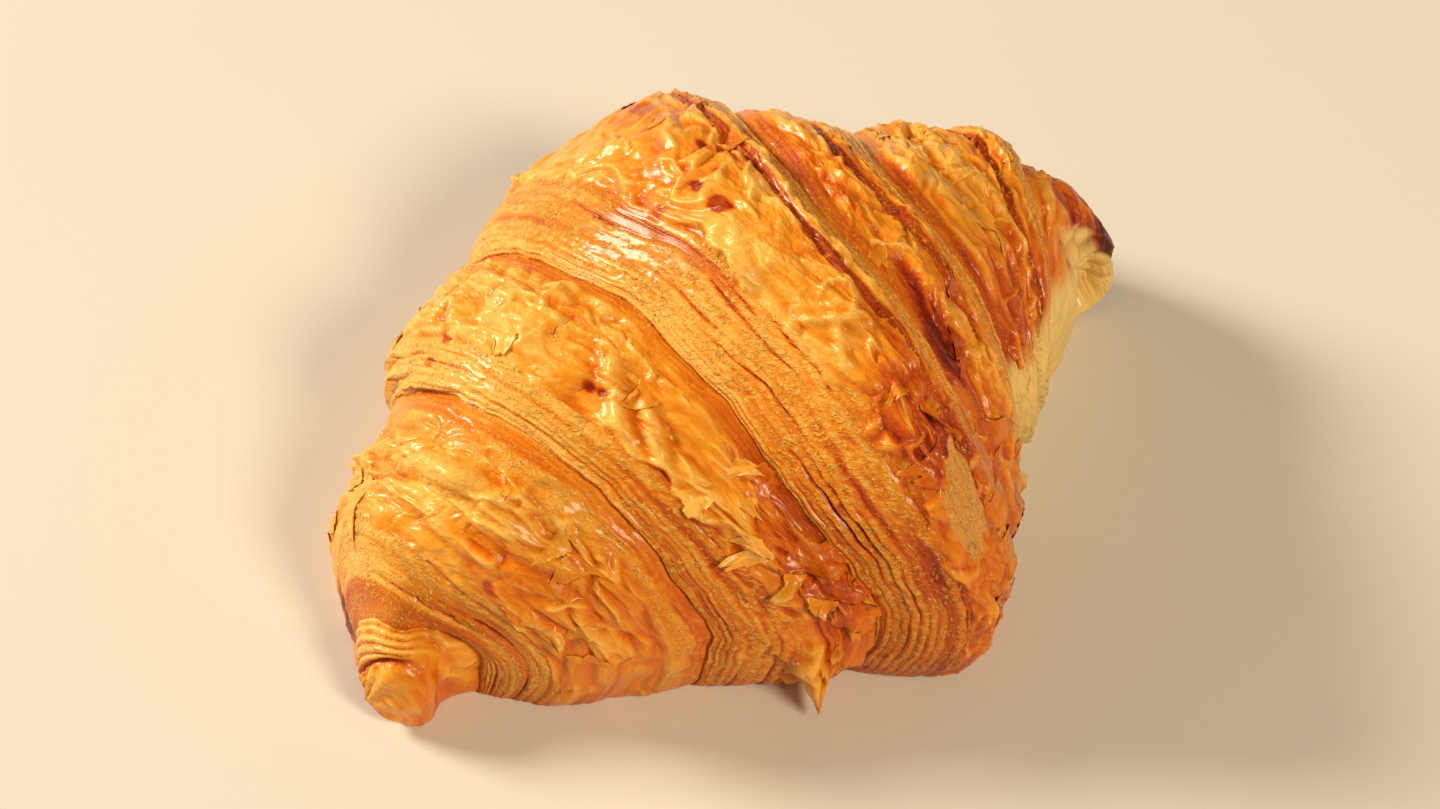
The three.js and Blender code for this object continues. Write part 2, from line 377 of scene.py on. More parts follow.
def layers(s):
    """Relief of the layered lips: which rows, how high, the grooves, and the tone."""
    rows = s.kind == BAND
    share, lip = s.share[rows], s.lip[rows]
    count = np.array([LIPS[i]["layers"] for i in lip])[:, None]
    warp = s.warp[rows]
    k = share[:, None] * count + warp + 0.3 * np.sin(lip * 2.0)[:, None]
    edge = np.round(k)
    layer = np.floor(k)
    gap = np.abs(k - edge)
    radius, turn, degrees = s.radius[rows], s.turn[rows], s.degrees[rows]

    def per(index, length, seed):
        """Noise that differs from layer to layer and runs for length mm along each."""
        p = np.stack([index * 5.37 + lip[:, None] * 91.7, radius / length * np.cos(turn),
                      radius / length * np.sin(turn)], -1)
        return noise(p, seed)

    on_nub, on_left = s.on_band(NUB_LIP)[rows], s.on_band(LEFT_LIP)[rows]
    rolled = on_left * ramp(0.50, 0.62, share)[:, None]
    strength = ramp(0.15, 0.75, per(edge, 30, 61) + 0.3 * per(edge, 5, 62)) * (1 - 0.8 * rolled)
    groove = strength * (1 - ramp(0, 0.22, gap))
    faint = (0.35 + 0.3 * per(edge, 9, 68)) * (1 - ramp(0, 0.2, gap)) * (1 - 0.6 * rolled)
    smooth = ramp(0.25, 0.50, per(layer, 45, 70) + 0.2 * per(layer, 8, 71)) * ramp(0, 0.3, gap)
    height = (0.5 * per(layer, 18, 63) + 0.2 * per(layer, 5, 64)) * ramp(0, 0.25, gap)
    group = k / 3 + 0.4
    coarse = per(np.floor(group), 26, 66)
    near, _, label = cells(anisotropic(s, 0.85, 1.15)[rows], 67)
    bubble = np.clip(1 - near * near * 1.6, 0, 1) * (0.35 + 0.65 * label)
    patch = ramp(-0.5, 0.3, noise(anisotropic(s, 3, 9)[rows], 69))
    rounded = np.maximum(ramp(-10, 60, degrees), 1.2 * on_nub)
    roll = np.sqrt(1 - (2 * (k - layer) - 1) ** 2) * rounded
    shingled = on_left * ramp(-10, -40, degrees)
    lift = 0.8 * height - 0.40 * groove - 0.22 * faint + 0.45 * coarse - 0.25 * smooth + 0.30 * roll
    lift = lift + (0.05 + 0.10 * patch) * bubble * (1 - smooth)
    lift = lift + shingled * (0.9 * coarse + 0.8 * (group - np.floor(group)))
    # Bubble tops are paler and the dips between them darker, partly the dough's grain and partly
    # painted highlight and shade.
    tone = 0.25 * per(layer, 26, 65) - (0.35 + 0.65 * patch) * (bubble - 0.3) * (1 - smooth)
    tone = tone + 0.35 * faint + 0.65 * smooth * (1 - 0.6 * on_nub) + 0.3
    return rows, lift, groove, tone


def foil(p, seed):
    """Crumpled foil, about -0.5 to 0.5: flat facets between sharp ridges and sharp valleys."""
    return cells(p, seed)[0] ** 2 - cells(p, seed + 100)[0] ** 2


def pillows(p, seed):
    """Cushions, -0.5 in the valleys between them to 0.5 on top."""
    near, second, _ = cells(p, seed)
    return 0.5 - (1 - np.clip((second - near) / 0.8, 0, 1)) ** 2


def pinch(n, width):
    """A thin raised line where the noise n crosses zero."""
    return np.exp(-(n / width) ** 2)


def wrinkles(s):
    """Relief of the puffed, glossy skin; what it is like at each point is kept for its colour."""
    q = anisotropic(s, 10, 17)
    puff = noise(q, 11)
    crinkled = 0.45 + 0.55 * ramp(-0.45, 0.30, noise(anisotropic(s, 17, 24), 12))
    warp = np.stack([noise(q * 2.1, 13), noise(q * 2.1, 14), noise(q * 2.1, 15)], -1)

    def warped(across, lengthwise, bend):
        return anisotropic(s, across, lengthwise) + bend * warp

    def field(across, lengthwise, bend, seed):
        return noise(warped(across, lengthwise, bend), seed)

    long_fold = pinch(field(8, 30, 0.30, 18), 0.07) * ramp(-0.2, 0.3, field(6, 9, 0.2, 23))
    short_fold = pinch(field(4.0, 11, 0.50, 19), 0.10) * ramp(-0.1, 0.4, field(5, 6, 0.2, 24))
    cross_fold = pinch(field(15, 6, 0.40, 20), 0.09) * ramp(0.0, 0.5, field(6, 8, 0.2, 25))
    broad = ramp(-6, -20, s.x) + 0.7 * ramp(27, 33, s.x)
    fine = 1 - 0.3 * broad
    lift = (0.6 + 0.5 * broad) * puff + (0.35 + 1.0 * crinkled) * foil(warped(6.5, 12, 0.35), 16)
    lift = lift + (0.1 + 0.28 * crinkled) * fine * foil(warped(2.9, 5.0, 0.45), 17)
    lift = lift + (0.20 + 0.45 * crinkled) * (1 + 0.5 * broad) * pillows(warped(4.2, 9.5, 0.55), 26)
    lift = lift + 0.22 * crinkled * fine * pillows(warped(2.2, 4.5, 0.6), 27)
    lift = lift + 0.55 * long_fold + (0.20 + 0.50 * crinkled) * short_fold
    lift = lift + (0.20 + 0.50 * crinkled) * cross_fold
    near, second, film = cells(warped(4.5, 9, 0.8), 22)
    s.crinkled, s.film = crinkled, film
    s.film_edge = (1 - ramp(0, 0.10, second - near)) * crinkled
    # Fold crests; the tone paints them paler, partly as a painted highlight.
    s.fold = np.clip(long_fold + short_fold * crinkled + cross_fold, 0, 1) * crinkled
    return lift + 0.28 * crinkled * (film - 0.5)


def turned(u, v, degrees):
    """The flat coordinates u and v, turned."""
    c, w = math.cos(math.radians(degrees)), math.sin(math.radians(degrees))
    return u * c + v * w, v * c - u * w


def bump_relief(s):
    lift = np.zeros_like(s.x)
    for x, angle, length, width, height, turn in BUMPS:
        u, v = turned((s.turn - math.radians(angle)) * s.radius, s.x - x, turn)
        lift += height * np.exp(-(u / length) ** 4 - np.abs(v / width + 0.35 * s.slow) ** 2.2)
    return lift


def blurred(values, rows, columns):
    """Two box blurs over the grid, wrapped round the section."""
    for _ in range(2):
        padded = np.pad(values, ((rows, rows), (0, 0)), mode="edge")
        total = np.cumsum(np.pad(padded, ((1, 0), (0, 0))), axis=0)
        values = (total[2 * rows + 1:] - total[:-2 * rows - 1]) / (2 * rows + 1)
        padded = np.concatenate([values[:, -columns:], values, values[:, :columns]], 1)
        total = np.cumsum(np.pad(padded, ((0, 0), (1, 0))), axis=1)
        values = (total[:, 2 * columns + 1:] - total[:, :-2 * columns - 1]) / (2 * columns + 1)
    return values


def spread(s, x, angle, along_x, around, turn=0.0, rough=0.25):
    """1 in the middle of a ragged patch to 0 at its edge and beyond; sizes are half widths."""
    u, v = turned(s.x - x, (s.turn - math.radians(angle)) * s.radius, turn)
    d = np.hypot(u / along_x, v / around)
    return np.clip(1 - d - rough * (s.medium + 0.6 * s.small), 0, 1)


def measures(s):
    """Sizes and slow noises that several reliefs share."""
    section = along(s.x.mean(1), HALF_WIDTH) * closing(s.x.mean(1))
    s.radius = np.broadcast_to(np.clip(section, 6, 60)[:, None], s.x.shape)
    # Distance along the surface at the crown, so that noise runs through lips as it does over skin.
    crown = np.argmin(np.abs(s.angle))
    step = np.linalg.norm(np.diff(s.points[:, crown], axis=0), axis=-1)
    s.run = np.broadcast_to(np.concatenate([[0], np.cumsum(step)])[:, None], s.x.shape)
    s.slow = noise(anisotropic(s, 9, 34), 1)
    s.medium = noise(anisotropic(s, 3, 12), 2)
    s.small = noise(anisotropic(s, 1.5, 2.2), 33)
    s.warp = 1.1 * s.slow + 0.04 * s.medium
    s.under = turn_ramp(*RELIEF_FADES, np.abs(s.turn))


def crease_gap(s):
    """How far skin is, along X, from the crease that it runs down into."""
    gap = np.full_like(s.x, 99.0)
    for i, lip in enumerate(LIPS):
        beside = i - 1 if lip["facing"] < 0 else i
        rows = (s.kind == WRAP) & (s.lip == beside)
        gap[rows] = np.abs(s.crease[i] - s.x[rows])
    return gap


def fringe(s):
    """1 on the torn edges of the thin layers along a lip that faces right."""
    edge = np.zeros_like(s.x)
    for i, lip in enumerate(LIPS):
        if lip["facing"] > 0:
            rows = (s.kind == WRAP) & (s.lip == i - 1)
            left = s.start[i] - s.x[rows]
            edge[rows] = 1 - ramp(1.6, 2.4, left + 0.7 * s.medium[rows] + 0.4 * s.small[rows])
    return edge * (1 - s.under)


def on_rows(s, rows, values):
    """A grid that holds the values on some rows and 0 on the others."""
    grid = np.zeros_like(s.x)
    grid[rows] = values
    return grid


def nub_relief(s):
    """The left end: rolls of dough that curl round its top, over one smooth puff in front."""
    rows = (s.kind == TIP) & (s.lip == NUB_LIP)
    turn, slow = s.degrees[rows], s.slow[rows]
    crease = round_section(s.angle, LIPS[NUB_LIP]["edge"])
    crease = crease + round_section(s.angle, LIPS[NUB_LIP]["band"]) * (1 - math.sin(LIP_CURL))
    reach = np.clip((s.x[rows] - LEFT_TIP_X) / (crease - LEFT_TIP_X), 0, 1)
    share = np.arccos(1 - reach) * 2 / math.pi
    split = 0.50 + 0.20 * ramp(0, 60, turn) - 0.12 * ramp(40, -50, turn) + 0.03 * slow
    top = ramp(70, 40, turn) * ramp(-75, -30, turn)
    rolled = ramp(split - 0.03, split + 0.03, share) * top
    bent = np.clip((share - split) / (1 - split), 0, 1) ** 0.85
    roll = np.abs(np.sin(math.pi * (bent * NUB_ROLLS + 0.25 * slow)))
    puff = ramp(split + 0.02, split - 0.25, share) * ramp(-30, 10, turn)
    pinched = np.exp(-((turn + 8) / 9) ** 2) * ramp(split, split - 0.2, share)
    seam = np.exp(-((share - split) / 0.035) ** 2) * top
    radial = np.sin(0.17 * turn + 2.5 * slow) * ramp(0.05, 0.25, share) * (1 - rolled)
    lift = 0.28 * radial + 0.60 * rolled * roll ** 0.8 + 1.2 * puff - 0.6 * seam - 0.9 * pinched
    tone = rolled * (0.22 - 0.32 * roll ** 0.5) + 0.30 * seam + 0.3 * pinched - 0.04 * puff
    return on_rows(s, rows, lift), on_rows(s, rows, tone), on_rows(s, rows, rolled)


def stub_relief(s):
    """The right end: a browned cap over torn sheets of pale dough."""
    beyond = ramp(57, 61, s.x)
    front = turn_ramp(44, 52, s.turn + 0.10 * s.medium)
    hollow = spread(s, 64.5, 100, 7.0, 6.0, rough=0.1)
    sheet = (s.points[..., 2] + 0.9 * s.slow + 0.25 * s.medium) / SHEET_HEIGHT
    terrace = np.abs(sheet - np.round(sheet)) * 2
    lift = beyond * front * (0.9 * terrace ** 0.5 - 1.4) - 4.2 * ramp(0, 0.9, hollow)
    return lift * (1 - s.under), terrace


def flap_lift(s):
    """The pointed, loose flake that hangs out low at the front."""
    (root_x, root_angle), (tip_x, tip_angle) = FLAP["root"], FLAP["tip"]
    t = (s.degrees - root_angle) / (tip_angle - root_angle)
    middle = root_x + (tip_x - root_x) * t
    width = FLAP["width"] * (1 - np.clip(t, 0, 1)) + 1.0
    inside = np.clip(1 - np.abs(s.x - middle) / width, 0, 1)
    return FLAP["reach"] * np.clip(t, 0, 1) ** 2.0 * inside ** 0.55 * ramp(1.10, 1.0, t)


def set_zones(s):
    """Where the layers show, the skin tucks into a crease or is torn off, each from 0 to 1."""
    torn = noise(anisotropic(s, 60, 6), 3) + 0.5 * noise(anisotropic(s, 60, 2.2), 4)
    bare = ramp(0.02, 0.06, s.share[:, None] - 0.09 - 0.08 * torn)
    gap = crease_gap(s)
    s.near_crease = 1 - ramp(2.6, 3.8, gap + 0.5 * s.slow)
    lined = ramp(7.5, 5.5, gap + 2.2 * s.slow + 1.6 * s.medium) * (1 - s.near_crease)
    lined = lined * (s.x < LINED_LIMIT)
    s.layered = np.where((s.kind == BAND)[:, None], bare, 0.0)
    s.layered = np.maximum(np.maximum(s.layered, 0.75 * lined), 0.45 * s.near_crease)
    s.calm = 1 - 0.85 * s.near_crease - 0.45 * lined
    s.ring = s.on_band(NUB_LIP) * ramp(0.44, 0.50, s.share[:, None] + 0.02 * s.slow)
    s.ring = s.ring * ramp(100, 70, s.degrees)
    s.fringe = fringe(s)
    s.peeled = ramp(0.04, 0.12, spread(s, *PEELED, rough=0.26))
    band_share = np.where(s.kind == BAND, s.share, 0)[:, None]
    s.edge_roll = ramp(0.55, 0.68, band_share) * ramp(0.95, 0.85, band_share)
    # Where a band tucks deepest into its crease; the tone gets painted shade there.
    s.tucked = ramp(0.90, 0.98, band_share)


def relief(s):
    """How far each point is lifted off the form."""
    bumps = bump_relief(s)
    # Blister tops; the tone paints them paler, partly as a painted highlight.
    s.blister = ramp(0.45, 1.2, bumps) * s.calm
    lift = s.calm * (wrinkles(s) + bumps)
    rows, band_lift, groove, tone = layers(s)
    s.groove, s.tone = on_rows(s, rows, groove), on_rows(s, rows, tone)
    share = s.share[:, None]
    band_part = band_lift * (1 - 0.75 * ramp(0.8, 1.0, share[rows])) - 0.25
    lift[rows] += (band_part - lift[rows]) * s.layered[rows]
    lift = lift + 0.05 * s.near_crease * np.sin(5.2 * (s.run + s.warp + 0.3 * s.medium))
    lift = lift * (1 - 0.6 * s.ring) + 0.6 * s.ring * ramp(0.70, 0.48, share)
    lift = lift - s.fringe * (0.35 + 0.35 * np.abs(np.sin(s.run * 3.1 + 2 * s.slow)))
    lift = lift * (1 - 0.75 * s.peeled) + (0.15 * s.small - 0.35) * s.peeled
    ends = ramp(-64, -56, s.x) * ramp(68, 60, s.x)
    nub_lift, s.nub_tone, rolled = nub_relief(s)
    stub_lift, s.terrace = stub_relief(s)
    lift = lift * (0.35 + 0.65 * ends) * (1 - 0.85 * rolled)
    return (lift + nub_lift + stub_lift) * (1 - 0.9 * s.under)


def build_surface():
    s = Surface()
    measures(s)
    set_zones(s)
    lift = relief(s)
    mean_lift = blurred(lift, int(HOLLOW_SIZE / ROW_STEP), max(1, int(2 * FINENESS)))
    # Painted shade and highlight: how far each point lies below the smoothed relief, which darkens
    # hollows and lightens ridges in the tone.
    s.hollow = np.clip(mean_lift - lift, -0.5, 0.6)
    s.layered = s.layered * (1 - 0.2 * s.ring)
    s.grain = anisotropic(s, 1, 1)
    s.grain[..., 0] += s.warp * s.layered
    s.normals = normals_of(s.points)
    s.smooth = s.points + s.normals * blurred(lift, int(FLAKE_BED / ROW_STEP), 2)[..., None]
    s.final = s.points + s.normals * lift[..., None]
    s.final += flap_lift(s)[..., None] * FLAP_WAY
    s.final[..., 2] = np.maximum(s.final[..., 2], 0)
    return s


# ---- flakes ----
# Films that stand off the crust: x, angle, length from the hinge to the free edge, width, the way
# the free edge points (0 towards +X, 90 down the front), how high the free edge lifts, how much
# darker it is than the crust under it.
FLAKES = [
    (-15.5, 62, 7.0, 9.0, 60, 1.2, 0.04),
    (-12.5, 70, 6.0, 8.0, 75, 1.2, 0.08),
    (-10.5, 78, 7.0, 9.0, 55, 1.4, 0.00),
    (-8.5, 86, 7.0, 7.0, 80, 1.4, 0.06),
    (-13.5, 84, 7.0, 6.0, 85, 1.3, 0.08),
    (-17.5, 59, 4.0, 3.0, 150, 2.0, -0.20),
    (-15.0, 66, 4.5, 3.0, 140, 2.0, -0.20),
    (-12.0, 74, 4.0, 4.0, 120, 1.6, -0.14),
    (-9.5, 70, 5.0, 5.0, 30, 1.3, 0.02),
    (-7.5, 78, 5.0, 4.0, 20, 1.5, -0.05),
    (-22.0, 43, 3.4, 3.4, 110, 0.7, -0.10),
    (-16.5, 39, 3.8, 3.2, 60, 0.7, -0.14),
    (-16.8, 46, 3.6, 3.0, 100, 0.9, -0.16),
    (-19.5, 54, 4.2, 2.8, 80, 1.3, -0.18),
    (-46.0, 66, 4.5, 3.5, 100, 2.0, -0.12),
    (-43.5, 70, 3.5, 5.0, 60, 1.2, -0.02),
    (-47.5, 58, 3.5, 4.0, 130, 1.0, 0.02),
    (8.5, 40, 3.4, 2.6, 100, 1.9, -0.14),
    (6.5, 36, 3.0, 2.4, 140, 1.9, -0.14),
    (9.8, 46, 3.0, 2.2, 80, 1.6, -0.12),
    (9.5, 68, 5.0, 8.0, 50, 0.8, 0.04),
    (11.0, 80, 6.0, 8.0, 30, 1.1, 0.02),
    (13.0, 58, 6.0, 9.0, 20, 0.7, 0.05),
    (9.0, 92, 6.0, 7.0, 60, 1.1, 0.06),
    (18.5, 60, 6.0, 6.0, 15, 0.7, 0.04),
    (23.5, 40, 5.0, 4.0, 150, 0.6, 0.05),
    (22.0, 14, 4.0, 6.0, 20, 0.5, 0.04),
    (42.0, 20, 4.0, 5.0, 60, 0.5, 0.04),
]
SMALL_FLAKES = 46
FLAKE_GRID = 13  # points along each side of a film
FLAKE_LIFT = 0.30
FLAKE_ROOT = 0.12  # how deep the hinge sits in the crust
FLAKE_THICKNESS = 0.20
FLOOR_GAP = 0.2  # the least height of a film above the floor


def sampled(grid, row, column):
    """Values of a grid between its rows and columns; the columns run round."""
    row = np.clip(row, 0, grid.shape[0] - 1.001)
    r, c = np.floor(row).astype(int), np.floor(column).astype(int)
    u, v = (row - r)[..., None], (column - c)[..., None]
    n = grid.shape[1]
    near = grid[r, c % n] * (1 - v) + grid[r, (c + 1) % n] * v
    far = grid[r + 1, c % n] * (1 - v) + grid[r + 1, (c + 1) % n] * v
    return near * (1 - u) + far * u


def column_at(s, angle):
    return np.interp(math.radians(angle), s.angle, np.arange(COLUMNS))


def flake_shell(s, spec, draw):
    """One thin closed film: top and bottom grids that meet round the edge."""
    x, angle, length, width, way, rise, darker = spec
    wave = draw.uniform(-1, 1, 12)

    def sway(phase, k):
        return np.sin(phase + 3 * wave[k])

    column = column_at(s, angle)
    j = int(column)
    row = int(np.argmin(np.where(s.kind == WRAP, np.abs(s.x[:, j] - x), 99)))
    i = int(np.clip(row, 2, len(s.x) - 3))
    rows_per_mm = 2 / np.linalg.norm(s.points[i + 1, j] - s.points[i - 1, j])
    columns_per_mm = 2 / np.linalg.norm(s.points[i, (j + 1) % COLUMNS] - s.points[i, j - 1])
    # a runs from the hinge to the free edge, b from side to side
    a, b = np.meshgrid(np.linspace(0, 1, FLAKE_GRID), np.linspace(-1, 1, FLAKE_GRID), indexing="ij")
    reach = 1 - 0.45 * np.abs(b) ** 2.5 + 0.16 * sway(2.6 * b, 0)
    reach = reach + 0.10 * sway(6 * b, 1) + 0.06 * sway(13 * b, 2)
    side = 1 - 0.35 * a ** 2 + 0.12 * sway(4 * a + b, 3) + 0.06 * sway(11 * a, 4)
    across = b * width / 2 * side + 0.35 * wave[5] * a * width
    along_x, around = turned(a * length * reach, across, -way)
    rows, columns = row + along_x * rows_per_mm, column + around * columns_per_mm
    base, normal = sampled(s.smooth, rows, columns), sampled(s.normals, rows, columns)
    edge = np.maximum(a, np.abs(b) ** 3)
    curl = rise * a ** 2.2 * (1 + 0.4 * sway(2.5 * b, 6)) * (1 - 0.3 * np.abs(b))
    crinkle = 0.10 * sway(1.3 * b * width + 2 * a, 7) * sway(1.1 * a * length, 8)
    height = FLAKE_LIFT * ramp(0, 0.25, a) + curl + crinkle * ramp(0, 0.4, a) - FLAKE_ROOT
    top = base + normal * height[..., None]
    bottom = top - normal * (FLAKE_THICKNESS * (1.25 - edge))[..., None]
    under = sampled(s.brown[..., None], rows, columns)[..., 0]
    tone = under + (under.mean() - under) * 0.6 + darker - 0.12 * edge ** 3
    return top, bottom, np.clip(tone, 0, 1)


def flake_specs(s, draw):
    """The named flakes, and small ones strewn over the skin."""
    specs = list(FLAKES)
    while len(specs) < len(FLAKES) + SMALL_FLAKES:
        x, angle = draw.uniform(-60, 58), draw.uniform(-100, 100)
        length, width = draw.uniform(2.5, 5.5), draw.uniform(3.0, 8.0)
        way, rise, darker = draw.uniform(0, 360), draw.uniform(0.05, 0.30), draw.uniform(-0.03, 0.06)
        j = int(column_at(s, angle))
        i = int(np.argmin(np.abs(s.x[:, j] - x)))
        bare = s.layered[i, j] + s.near_crease[i, j] + s.pale[i, j]
        if s.kind[i] == WRAP and bare < 0.1:
            specs.append((x, angle, length, width, way, rise, darker))
    return specs


def shell_faces(n):
    """Quads of a closed shell of two n by n grids."""
    r, c = np.meshgrid(np.arange(n - 1), np.arange(n - 1), indexing="ij")
    top = np.stack([r * n + c, r * n + c + 1, (r + 1) * n + c + 1, (r + 1) * n + c], -1).reshape(-1, 4)
    rim = np.concatenate([np.arange(n - 1), np.arange(n - 1) * n + n - 1,
                          n * n - 1 - np.arange(n - 1), (n - 1 - np.arange(n - 1)) * n])
    after = np.roll(rim, -1)
    side = np.stack([after, rim, rim + n * n, after + n * n], -1)
    return np.concatenate([top, top[:, ::-1] + n * n, side])


def make_flakes(s, offset):
    draw = np.random.default_rng(SEED)
    points, tones, quads = [], [], []
    pattern = shell_faces(FLAKE_GRID)
    for count, spec in enumerate(flake_specs(s, draw)):
        top, bottom, shade = flake_shell(s, spec, draw)
        points.append(np.concatenate([top.reshape(-1, 3), bottom.reshape(-1, 3)]))
        tones.append(np.tile(shade.ravel(), 2))
        quads.append(pattern + count * 2 * FLAKE_GRID ** 2)
    points = np.concatenate(points) + offset
    points[:, 2] = np.maximum(points[:, 2], FLOOR_GAP)
    quads, tones = np.concatenate(quads), np.concatenate(tones)
    mesh = bpy.data.meshes.new("flakes")
    mesh.from_pydata((points * MM).tolist(), [], quads.tolist())
    mesh.polygons.foreach_set("use_smooth", np.ones(len(quads), bool))
    nothing = np.zeros_like(tones)
    write_attributes(mesh, {"tone": tones, "pale": nothing, "layered": nothing,
                            "crinkle": nothing + 0.5, "grain": points})
    return put_in_scene("flakes", mesh)


# ---- mesh ----
UV_TIP = 0.005  # the height of the map that each tip's fan takes


def put_in_scene(name, data):
    obj = bpy.data.objects.new(name, data)
    bpy.context.scene.collection.objects.link(obj)
    return obj


def write_attributes(mesh, attributes):
    """Numbers or vectors for the shader, one for each vertex."""
    for key, values in attributes.items():
        wide = values.ndim == 2
        layer = mesh.attributes.new(key, "FLOAT_VECTOR" if wide else "FLOAT", "POINT")
        layer.data.foreach_set("vector" if wide else "value", values.astype(np.float32).ravel())


def pole(x):
    base, _, core = core_line(x)
    return [x, float(along(x, SHIFT)), float(base + core - SOLE_SINK)]


def centre_offset(s):
    """What brings the form to the middle of its own box, as in the frame."""
    low, high = s.points.reshape(-1, 3).min(0), s.points.reshape(-1, 3).max(0)
    return np.array([-(LEFT_TIP_X + RIGHT_TIP_X) / 2, -(low[1] + high[1]) / 2, 0])


def grid_faces(count, columns):
    """Quads between the rows, and a fan of triangles round each pole; the poles come last."""
    r, c = np.meshgrid(np.arange(count - 1), np.arange(columns), indexing="ij")
    d = (c + 1) % columns
    quads = np.stack([r * columns + c, r * columns + d, (r + 1) * columns + d,
                      (r + 1) * columns + c], -1)
    c, d = c[0], d[0]
    left, end = count * columns, (count - 1) * columns
    fans = [np.stack([np.full(columns, left), d, c], -1),
            np.stack([np.full(columns, left + 1), end + c, end + d], -1)]
    return quads.reshape(-1, 4), np.concatenate(fans)


def grid_map(rows):
    """The map of those faces that colours are kept on: once round across, tip to tip upwards."""
    columns = rows.shape[1]
    length = np.linalg.norm(np.diff(rows, axis=0), axis=-1).mean(1)
    up = np.concatenate([[0], np.cumsum(length)])
    up = UV_TIP + (1 - 2 * UV_TIP) * up / up[-1]
    across = np.arange(columns + 1) / columns
    near, far = across[:-1], across[1:]
    middle = (near + far) / 2

    def corners(*pairs):
        spots = [np.stack(np.broadcast_arrays(u, v), -1) for u, v in pairs]
        return np.stack(spots, -2).reshape(-1, 2)

    low, high = up[:-1, None], up[1:, None]
    return np.concatenate([corners((near, low), (far, low), (far, high), (near, high)),
                           corners((middle, 0), (far, up[0]), (near, up[0])),
                           corners((middle, 1), (near, up[-1]), (far, up[-1]))])


def mesh_from_rows(name, rows, poles, attributes):
    """A closed mesh of the rows and two poles."""
    points = np.concatenate([rows.reshape(-1, 3), poles])
    quads, fans = grid_faces(*rows.shape[:2])
    loops = np.concatenate([quads.ravel(), fans.ravel()])
    starts = np.concatenate([np.arange(len(quads)) * 4, len(quads) * 4 + np.arange(len(fans)) * 3])
    mesh = bpy.data.meshes.new(name)
    mesh.vertices.add(len(points))
    mesh.vertices.foreach_set("co", points.astype(np.float32).ravel())
    mesh.loops.add(len(loops))
    mesh.loops.foreach_set("vertex_index", loops.astype(np.int32))
    mesh.polygons.add(len(starts))
    mesh.polygons.foreach_set("loop_start", starts.astype(np.int32))
    mesh.polygons.foreach_set("use_smooth", np.ones(len(starts), bool))
    mesh.update(calc_edges=True)
    mesh.validate()
    flat = {}
    for key, values in attributes.items():
        ends = np.stack([values[0].mean(0), values[-1].mean(0)])
        flat[key] = np.concatenate([values.reshape(-1, *ends.shape[1:]), ends])
    write_attributes(mesh, flat)
    uv = mesh.uv_layers.new(name="OFBake")
    uv.data.foreach_set("uv", grid_map(rows).astype(np.float32).ravel())
    return put_in_scene(name, mesh)


# ---- colour ----
# Dark, scorched places: x, angle, size along, size across, strength.
SPOTS = [
    (2.9, -7, 2.2, 1.3, 1.0),
    (2.8, -13, 1.6, 0.9, 0.8),
    (9, -21, 2.0, 0.8, 0.8),
    (10.5, -16, 3.0, 0.8, 0.8),
    (12.2, -11, 2.5, 0.8, 0.7),
    (-3, -13, 1.5, 0.8, 0.7),
    (-26.1, 10, 1.1, 0.8, 0.7),
    (-25.2, 13, 1.0, 0.6, 0.6),
    (-35.2, -30, 1.2, 0.7, 0.9),
    (-38.5, -31, 1.5, 0.5, 0.9),
    (-49.6, 48, 1.3, 0.6, 0.5),
    (-62.9, -77, 2.2, 1.0, 1.0),
    (-63.3, -81, 3.0, 1.0, 0.9),
    (20.8, 31, 7.0, 2.0, 0.5),
    (18.8, 40, 6.0, 1.6, 0.5),
    (11, -44, 4.0, 2.0, 0.5),
]


# Wide places that are browner or paler than the skin round them: x, angle, half width along x
# and around, how much. The paler first one, over the right wrap, is partly painted light; the
# browner last one, low on the front, is partly painted shade.
PATCHES = [
    (42, -2, 12, 22, -0.10),
    (0, -35, 14, 22, -0.08),
    (20, 0, 4.5, 60, 0.07),
    (9, 46, 16, 24, 0.35),
]
RED_PATCH = (-12.5, 62, 6.5, 28)


def mix(a, b, share):
    return a + (b - a) * share


